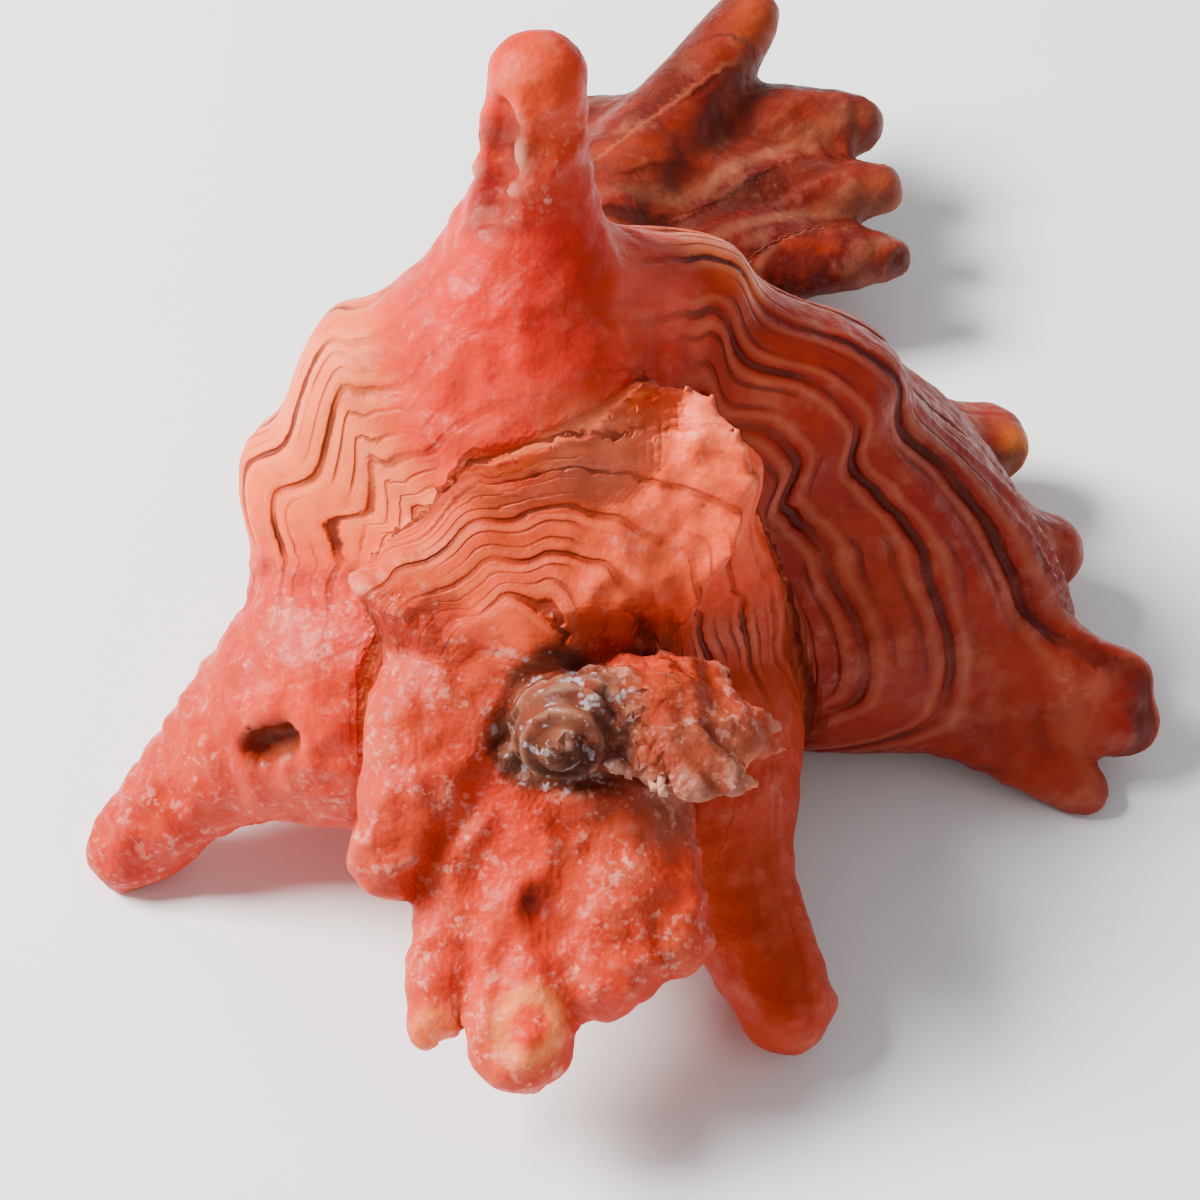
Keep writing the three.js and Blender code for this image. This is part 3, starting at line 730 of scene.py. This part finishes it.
class Nodes:
    """Small helpers that keep the node set-up readable."""

    def __init__(self, tree):
        self.tree = tree

    def new(self, kind, **settings):
        node = self.tree.nodes.new(kind)
        for key, value in settings.items():
            setattr(node, key, value)
        return node

    def put(self, socket, value):
        if hasattr(value, "links"):
            self.tree.links.new(value, socket)
        else:
            socket.default_value = value

    def fact(self, name):
        return self.new("ShaderNodeAttribute", attribute_name=name).outputs["Fac"]

    def math(self, operation, a, b=0.0, clamp=False):
        node = self.new("ShaderNodeMath", operation=operation, use_clamp=clamp)
        self.put(node.inputs[0], a)
        self.put(node.inputs[1], b)
        return node.outputs[0]

    def step(self, value, low, high, to_low=0.0, to_high=1.0):
        node = self.new("ShaderNodeMapRange", interpolation_type="SMOOTHSTEP")
        for socket, v in zip(node.inputs, (value, low, high, to_low, to_high)):
            self.put(socket, v)
        return node.outputs[0]

    def mix(self, factor, a, b, blend="MIX"):
        node = self.new("ShaderNodeMix", data_type="RGBA", blend_type=blend)
        self.put(node.inputs[0], factor)
        self.put(node.inputs[6], a)
        self.put(node.inputs[7], b)
        return node.outputs[2]

    def noise(self, vector, scale, detail=3.0, rough=0.6):
        node = self.new("ShaderNodeTexNoise")
        self.put(node.inputs["Vector"], vector)
        node.inputs["Scale"].default_value = scale
        node.inputs["Detail"].default_value = detail
        node.inputs["Roughness"].default_value = rough
        return node.outputs[0]

    def cells(self, vector, scale):
        node = self.new("ShaderNodeTexVoronoi")
        self.put(node.inputs["Vector"], vector)
        node.inputs["Scale"].default_value = scale
        return node.outputs["Distance"]


def screen(r, g, b):
    return ((r / 255) ** 2.2, (g / 255) ** 2.2, (b / 255) ** 2.2, 1.0)


def shell_material():
    material = bpy.data.materials.new("murex")
    material.use_nodes = True
    n = Nodes(material.node_tree)
    shader = material.node_tree.nodes["Principled BSDF"]
    place = n.new("ShaderNodeTexCoord").outputs["Object"]
    ground = n.new("ShaderNodeAttribute", attribute_name="ground").outputs["Color"]
    line, grooved, rough = n.fact("line"), n.fact("grooved"), n.fact("rough")
    fine = n.noise(place, 900.0)
    blotch = n.noise(place, 260.0)
    broad = n.noise(place, 90.0, 2.0)

    # Ground colour that drifts in blotches
    colour = n.mix(n.step(broad, 0.35, 0.7, 0.0, 0.3), ground, screen(178, 66, 30))
    colour = n.mix(n.step(blotch, 0.5, 0.72, 0.0, 0.09), colour, screen(250, 170, 130))
    colour = n.mix(n.step(blotch, 0.5, 0.3, 0.0, 0.35), colour, screen(160, 50, 20))

    # Spiral grooves: bold ones, and finer ones between them
    off = n.math("ABSOLUTE", n.math("SUBTRACT", n.math("FRACT", n.math("ADD", line, 0.5)), 0.5))
    wobble = n.math("MULTIPLY", n.math("SUBTRACT", fine, 0.5), 0.03)
    bold = n.step(n.math("ADD", off, wobble), 0.10, 0.03)
    thirds = n.math("MULTIPLY", line, 3.0)
    off_fine = n.math("ABSOLUTE", n.math("SUBTRACT", n.math("FRACT", n.math("ADD", thirds, 0.5)), 0.5))
    thin = n.math("MULTIPLY", n.step(off_fine, 0.16, 0.02), n.step(n.noise(place, 130.0, 1.0), 0.45, 0.65))
    patchy = n.step(n.noise(place, 110.0, 1.0), 0.32, 0.55, 0.25, 1.0)
    both = n.math("MAXIMUM", n.math("MULTIPLY", bold, patchy), n.math("MULTIPLY", thin, 0.55))
    lines = n.math("MULTIPLY", both, grooved, clamp=True)
    # a pale cord beside each bold groove
    cord = n.math("MULTIPLY", n.step(n.math("ABSOLUTE", n.math("SUBTRACT", off, 0.2)), 0.1, 0.0), grooved)
    colour = n.mix(n.math("MULTIPLY", cord, 0.1), colour, screen(250, 170, 120))
    colour = n.mix(n.math("MULTIPLY", lines, 0.92), colour, screen(70, 20, 6))

    # Frosting of pale flecks on the rough fronts
    specks = n.step(n.noise(place, 1300.0, 2.0, 0.5), 0.56, 0.66)
    frost = n.step(n.noise(place, 480.0, 3.0, 0.7), 0.58, 0.68)
    flecks = n.math("MAXIMUM", n.math("MULTIPLY", specks, 0.6), frost)
    flecks = n.math("MULTIPLY", flecks, n.step(blotch, 0.36, 0.6))
    flecks = n.math("MULTIPLY", flecks, n.step(rough, 0.25, 0.9, 0.0, 0.34))
    flecks = n.math("MULTIPLY", flecks, n.math("SUBTRACT", 1.0, n.fact("pit")))
    colour = n.mix(flecks, colour, screen(255, 186, 168))

    # Painted highlights: white glints on the worn dome
    worn = n.fact("worn")
    painted_glints = n.math("MULTIPLY", n.step(n.noise(place, 850.0, 2.0, 0.6), 0.57, 0.68, 0.0, 0.45), worn)
    colour = n.mix(painted_glints, colour, screen(214, 208, 212))

    # Painted shade in the hollows and a painted highlight on the edges
    hollow = n.fact("hollow")
    colour = n.mix(n.step(hollow, 0.06, 0.36, 0.0, 0.6), colour, screen(110, 30, 16))
    colour = n.mix(n.step(hollow, -0.08, -0.38, 0.0, 0.3), colour, screen(255, 190, 158))
    # Painted shade in the broad hollows
    wide = n.fact("wide_hollow")
    colour = n.mix(n.step(wide, 0.1, 1.2, 0.0, 0.4), colour, screen(140, 52, 38))

    n.put(shader.inputs["Base Color"], colour)
    n.put(shader.inputs["Roughness"], n.step(fine, 0.3, 0.7, 0.38, 0.62))
    shader.inputs["Specular IOR Level"].default_value = 0.18
    shader.inputs["Subsurface Weight"].default_value = 0.0

    growth = n.fact("growth")
    phase = n.math("ADD", n.math("MULTIPLY", growth, 4.0), n.math("MULTIPLY", blotch, 1.5))
    lamella = n.math("FRACT", phase)
    height = n.math("MULTIPLY", fine, 0.25)
    height = n.math("ADD", height, n.math("MULTIPLY", blotch, n.step(rough, 0.0, 1.0, 0.2, 0.9)))
    height = n.math("ADD", height, n.math("MULTIPLY", lamella, n.step(rough, 0.0, 1.0, 0.08, 0.3)))
    height = n.math("SUBTRACT", height, n.math("MULTIPLY", lines, 0.7))
    bump = n.new("ShaderNodeBump")
    bump.inputs["Strength"].default_value = 0.9
    bump.inputs["Distance"].default_value = 0.0005
    n.put(bump.inputs["Height"], height)
    n.put(shader.inputs["Normal"], bump.outputs[0])
    return material


piece = make_shell()
piece.data.materials.append(shell_material())
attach(piece, "root")
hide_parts("shell")

# ---- Floor, light and camera ----
floor_mesh = bpy.data.meshes.new("floor")
HALF = 2.5  # of the floor's width, in metres
floor_corners = [(-HALF, -HALF, 0), (HALF, -HALF, 0), (HALF, HALF, 0), (-HALF, HALF, 0)]
floor_mesh.from_pydata(floor_corners, [], [(0, 1, 2, 3)])
floor = bpy.data.objects.new("floor", floor_mesh)
floor_paint = bpy.data.materials.new("floor")
floor_paint.use_nodes = True
paint = floor_paint.node_tree.nodes["Principled BSDF"]
paint.inputs["Base Color"].default_value = (0.93, 0.93, 0.93, 1)
paint.inputs["Roughness"].default_value = 0.9
floor_mesh.materials.append(floor_paint)
bpy.context.scene.collection.objects.link(floor)

aim = to_world(np.array([[0, 0, AIM_HEIGHT]]))[0]
ELEVATION = math.radians(90 - PITCH)
right = np.array([1.0, 0, 0])
up = np.array([0, math.sin(ELEVATION), math.cos(ELEVATION)])
back = np.array([0, -math.cos(ELEVATION), math.sin(ELEVATION)])
CAMERA_DISTANCE = 260.0
FRAME_WIDTH = 88.9  # seen across the frame at the aim, in millimetres
ASIDE, BELOW = -2.96, -10.74  # of the aim from the middle of the frame
camera_data = bpy.data.cameras.new("camera")
camera = bpy.data.objects.new("camera", camera_data)
bpy.context.scene.collection.objects.link(camera)
camera_data.sensor_width = 36
camera_data.lens = 36 * CAMERA_DISTANCE / FRAME_WIDTH
camera.location = (aim - ASIDE * right - BELOW * up + CAMERA_DISTANCE * back) * MM
camera.rotation_mode = "QUATERNION"
camera.rotation_quaternion = Vector(-back).to_track_quat("-Z", "Y")
camera_data.clip_start = 0.01
bpy.context.scene.camera = camera


def area_light(name, place, target, size, power, colour=(1, 1, 1)):
    data = bpy.data.lights.new(name, "AREA")
    data.shape = "SQUARE"
    data.size = size
    data.energy = power
    data.color = colour
    light = bpy.data.objects.new(name, data)
    light.location = place
    light.rotation_mode = "QUATERNION"
    light.rotation_quaternion = (Vector(target) - Vector(place)).to_track_quat("-Z", "Y")
    bpy.context.scene.collection.objects.link(light)


CENTRE = (0, 0, 0.03)
area_light("key", (-0.5, 0.05, 0.5), CENTRE, 0.3, 17, (1, 0.98, 0.95))
area_light("fill", (0.5, -0.5, 0.5), CENTRE, 0.6, 0.8, (0.95, 0.97, 1))
area_light("back", (0.1, 0.7, 0.5), CENTRE, 0.5, 1.2)
world = bpy.data.worlds.new("studio")
world.use_nodes = True
world.node_tree.nodes["Background"].inputs["Color"].default_value = (0.9, 0.92, 0.95, 1)
world.node_tree.nodes["Background"].inputs["Strength"].default_value = 0.45
bpy.context.scene.world = world
